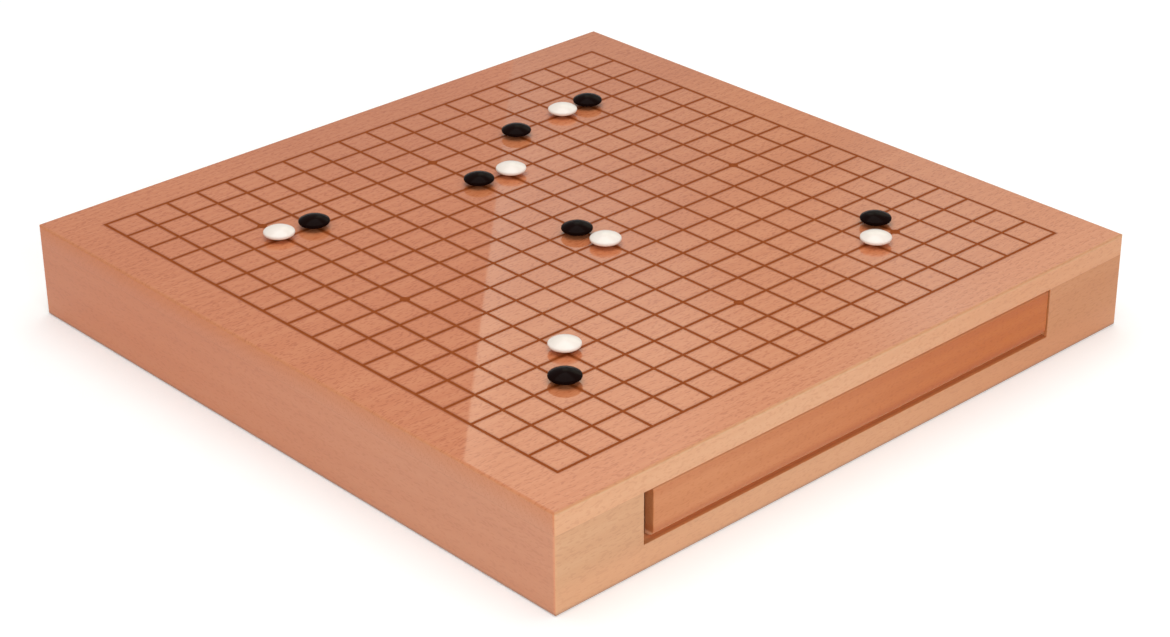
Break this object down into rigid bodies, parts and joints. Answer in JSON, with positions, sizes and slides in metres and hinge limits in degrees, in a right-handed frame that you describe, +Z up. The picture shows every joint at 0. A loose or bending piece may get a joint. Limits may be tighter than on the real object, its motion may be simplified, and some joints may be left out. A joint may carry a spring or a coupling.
{
  "type": "go board with drawers",
  "caption": "Square wooden go board: a playing top engraved with a line grid on a mitred frame, sliding drawers in two opposite sides for stones, and lens-shaped stones on the top.",
  "frame": {"origin": "middle of the underside, on the surface that the board stands on", "axes": "+Z up through the playing top, +X to the right along the front drawer face, front drawer opens towards -Y"},
  "size_m": [0.432, 0.432, 0.0641],
  "materials": {
    "playing_top": "satin lacquer",
    "frame_wood": "satin lacquer",
    "drawer_front_wood": "satin lacquer",
    "drawer_box_wood": "bare, sanded",
    "runner_wood": "bare, planed",
    "plywood": "bare plywood",
    "black_stone": "polished",
    "white_stone": "polished"
  },
  "bodies": {
    "board": {"top_board": "playing_top", "front_rail": "frame_wood", "back_rail": "frame_wood", "left_rail": "frame_wood", "right_rail": "frame_wood", "base_panel": "plywood", "left_bearer": "runner_wood", "right_bearer": "runner_wood", "centre_bar": "runner_wood", "front_left_guide": "runner_wood", "front_right_guide": "runner_wood", "back_left_guide": "runner_wood", "back_right_guide": "runner_wood"},
    "front_drawer": {"front_drawer_face": "drawer_front_wood", "front_drawer_left_side": "drawer_box_wood", "front_drawer_right_side": "drawer_box_wood", "front_drawer_back": "drawer_box_wood", "front_drawer_bottom": "plywood"},
    "back_drawer": {"back_drawer_face": "drawer_front_wood", "back_drawer_left_side": "drawer_box_wood", "back_drawer_right_side": "drawer_box_wood", "back_drawer_back": "drawer_box_wood", "back_drawer_bottom": "plywood"},
    "black_stone_1": {"black_stone_1": "black_stone"},
    "black_stone_2": {"black_stone_2": "black_stone"},
    "black_stone_3": {"black_stone_3": "black_stone"},
    "black_stone_4": {"black_stone_4": "black_stone"},
    "black_stone_5": {"black_stone_5": "black_stone"},
    "black_stone_6": {"black_stone_6": "black_stone"},
    "black_stone_7": {"black_stone_7": "black_stone"},
    "white_stone_1": {"white_stone_1": "white_stone"},
    "white_stone_2": {"white_stone_2": "white_stone"},
    "white_stone_3": {"white_stone_3": "white_stone"},
    "white_stone_4": {"white_stone_4": "white_stone"},
    "white_stone_5": {"white_stone_5": "white_stone"},
    "white_stone_6": {"white_stone_6": "white_stone"}
  },
  "joints": [
    {"name": "front_drawer_slide", "type": "slide", "parent": "board", "child": "front_drawer", "axis": [0, -1, 0], "range_m": [0, 0.16]},
    {"name": "back_drawer_slide", "type": "slide", "parent": "board", "child": "back_drawer", "axis": [0, 1, 0], "range_m": [0, 0.16]},
    {"name": "black_stone_1_lift", "type": "slide", "parent": "board", "child": "black_stone_1", "axis": [0, 0, 1], "range_m": [0, 0.08]},
    {"name": "black_stone_2_lift", "type": "slide", "parent": "board", "child": "black_stone_2", "axis": [0, 0, 1], "range_m": [0, 0.08]},
    {"name": "black_stone_3_lift", "type": "slide", "parent": "board", "child": "black_stone_3", "axis": [0, 0, 1], "range_m": [0, 0.08]},
    {"name": "black_stone_4_lift", "type": "slide", "parent": "board", "child": "black_stone_4", "axis": [0, 0, 1], "range_m": [0, 0.08]},
    {"name": "black_stone_5_lift", "type": "slide", "parent": "board", "child": "black_stone_5", "axis": [0, 0, 1], "range_m": [0, 0.08]},
    {"name": "black_stone_6_lift", "type": "slide", "parent": "board", "child": "black_stone_6", "axis": [0, 0, 1], "range_m": [0, 0.08]},
    {"name": "black_stone_7_lift", "type": "slide", "parent": "board", "child": "black_stone_7", "axis": [0, 0, 1], "range_m": [0, 0.08]},
    {"name": "white_stone_1_lift", "type": "slide", "parent": "board", "child": "white_stone_1", "axis": [0, 0, 1], "range_m": [0, 0.08]},
    {"name": "white_stone_2_lift", "type": "slide", "parent": "board", "child": "white_stone_2", "axis": [0, 0, 1], "range_m": [0, 0.08]},
    {"name": "white_stone_3_lift", "type": "slide", "parent": "board", "child": "white_stone_3", "axis": [0, 0, 1], "range_m": [0, 0.08]},
    {"name": "white_stone_4_lift", "type": "slide", "parent": "board", "child": "white_stone_4", "axis": [0, 0, 1], "range_m": [0, 0.08]},
    {"name": "white_stone_5_lift", "type": "slide", "parent": "board", "child": "white_stone_5", "axis": [0, 0, 1], "range_m": [0, 0.08]},
    {"name": "white_stone_6_lift", "type": "slide", "parent": "board", "child": "white_stone_6", "axis": [0, 0, 1], "range_m": [0, 0.08]}
  ]
}
